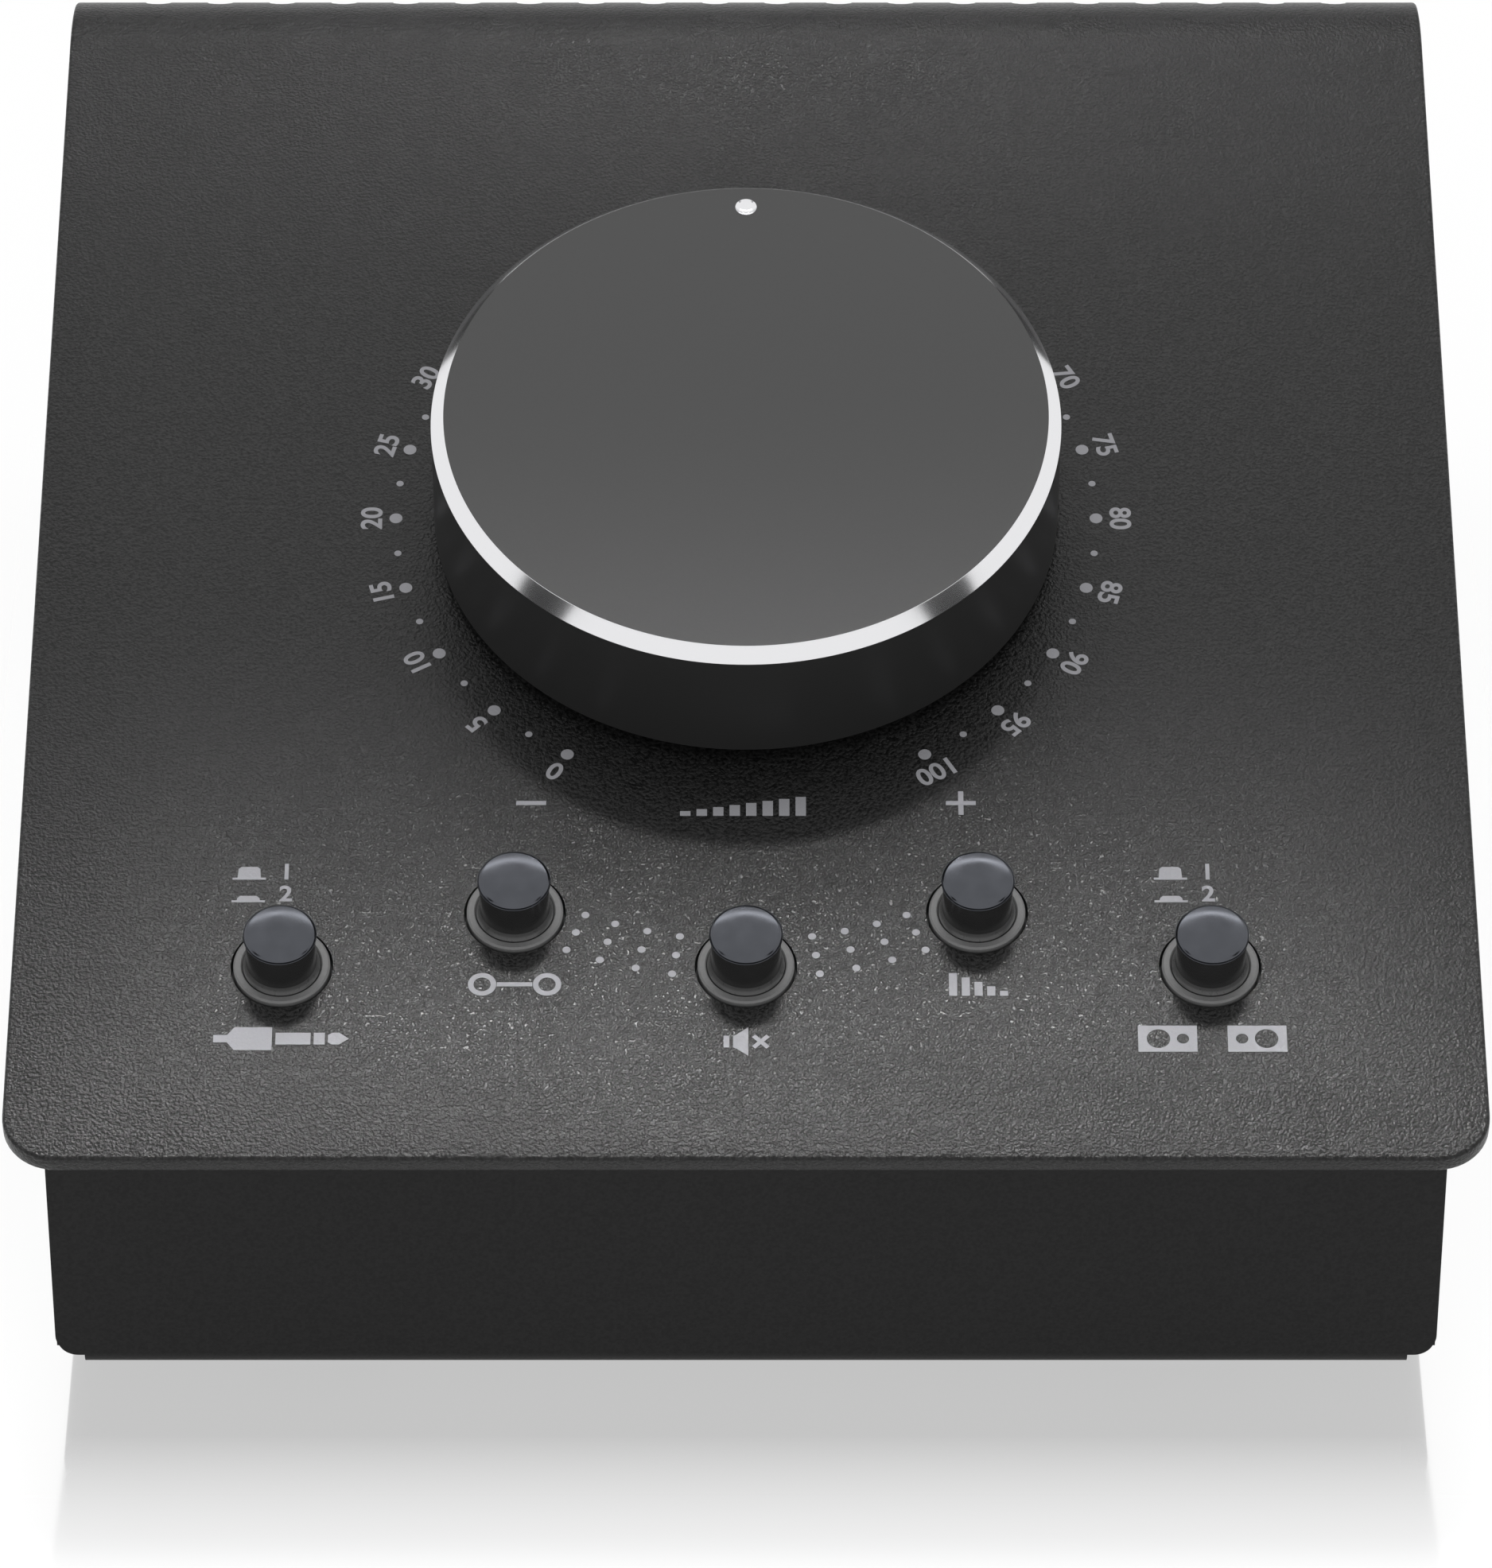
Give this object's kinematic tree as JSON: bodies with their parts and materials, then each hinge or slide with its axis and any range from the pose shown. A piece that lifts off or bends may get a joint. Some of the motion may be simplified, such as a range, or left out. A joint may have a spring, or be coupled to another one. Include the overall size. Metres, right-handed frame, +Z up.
{
  "type": "studio monitor controller",
  "caption": "Desktop monitor level controller: sloping bent-steel cover on a folded tray, large turning volume knob, push buttons in front and jack sockets in the slotted rear fold.",
  "frame": {"origin": "on the surface it stands on, under the centre of the whole object's box", "axes": "+X right and +Y back as seen by the person using it, +Z up; the panel's low edge faces -Y"},
  "size_m": [0.145, 0.1662, 0.0777],
  "materials": {
    "cover_paint": "fine textured powder coat, dark grey",
    "tray_paint": "smooth satin powder coat, near black",
    "knob_anodised": "black anodised, fine blasted face, polished bevel",
    "knob_plastic": "moulded, as pressed",
    "shaft_metal": "turned",
    "cast_metal": "die cast",
    "pot_can": "moulded",
    "button_plating": "dark plated, polished",
    "ring_plastic": "satin",
    "stem_plastic": "moulded",
    "switch_can": "moulded",
    "board_laminate": "solder mask",
    "fastener_steel": "black zinc plated",
    "bracket_steel": "zinc plated",
    "nut_plating": "nickel plated",
    "jack_plastic": "moulded",
    "header_plastic": "moulded",
    "ribbon_vinyl": "extruded",
    "foot_rubber": "moulded"
  },
  "bodies": {
    "housing": {"top_cover": "cover_paint", "base_tray": "tray_paint", "side_brackets": "bracket_steel", "side_screws": "fastener_steel", "rear_screws": "fastener_steel", "foot_front_left": "foot_rubber", "foot_front_right": "foot_rubber", "foot_rear_left": "foot_rubber", "foot_rear_right": "foot_rubber", "pot_bushing": "cast_metal", "pot_body": "pot_can", "pot_washer": "nut_plating", "pot_nut": "nut_plating", "control_board": "board_laminate", "control_board_header": "header_plastic", "jack_board": "board_laminate", "jack_board_header": "header_plastic", "ribbon_cable": "ribbon_vinyl", "jack_nuts": "nut_plating", "jack_input_a_left": "jack_plastic", "jack_input_a_right": "jack_plastic", "jack_input_b_left": "jack_plastic", "jack_input_b_right": "jack_plastic", "jack_output_a_left": "jack_plastic", "jack_output_a_right": "jack_plastic", "jack_output_b_left": "jack_plastic", "jack_output_b_right": "jack_plastic", "source_guide_ring": "ring_plastic", "source_switch": "switch_can", "mono_guide_ring": "ring_plastic", "mono_switch": "switch_can", "mute_guide_ring": "ring_plastic", "mute_switch": "switch_can", "dim_guide_ring": "ring_plastic", "dim_switch": "switch_can", "monitor_guide_ring": "ring_plastic", "monitor_switch": "switch_can"},
    "volume_knob": {"knob_cap": "knob_anodised", "knob_core": "knob_plastic", "pot_shaft": "shaft_metal"},
    "source_key": {"source_button": "button_plating", "source_plunger": "stem_plastic"},
    "mono_key": {"mono_button": "button_plating", "mono_plunger": "stem_plastic"},
    "mute_key": {"mute_button": "button_plating", "mute_plunger": "stem_plastic"},
    "dim_key": {"dim_button": "button_plating", "dim_plunger": "stem_plastic"},
    "monitor_key": {"monitor_button": "button_plating", "monitor_plunger": "stem_plastic"}
  },
  "joints": [
    {"name": "volume_turn", "type": "hinge", "parent": "housing", "child": "volume_knob", "pos_m": [0, -0.00368, 0.0546], "axis": [0, 0.225, -0.9744], "range_deg": [-150, 150]},
    {"name": "source_press", "type": "slide", "parent": "housing", "child": "source_key", "axis": [0, 0.225, -0.9744], "range_m": [0, 0.0025], "stiffness_N_per_m": 150, "springref_m": -0.002},
    {"name": "mono_press", "type": "slide", "parent": "housing", "child": "mono_key", "axis": [0, 0.225, -0.9744], "range_m": [0, 0.0025], "stiffness_N_per_m": 150, "springref_m": -0.002},
    {"name": "mute_press", "type": "slide", "parent": "housing", "child": "mute_key", "axis": [0, 0.225, -0.9744], "range_m": [0, 0.0025], "stiffness_N_per_m": 150, "springref_m": -0.002},
    {"name": "dim_press", "type": "slide", "parent": "housing", "child": "dim_key", "axis": [0, 0.225, -0.9744], "range_m": [0, 0.0025], "stiffness_N_per_m": 150, "springref_m": -0.002},
    {"name": "monitor_press", "type": "slide", "parent": "housing", "child": "monitor_key", "axis": [0, 0.225, -0.9744], "range_m": [0, 0.0025], "stiffness_N_per_m": 150, "springref_m": -0.002}
  ]
}
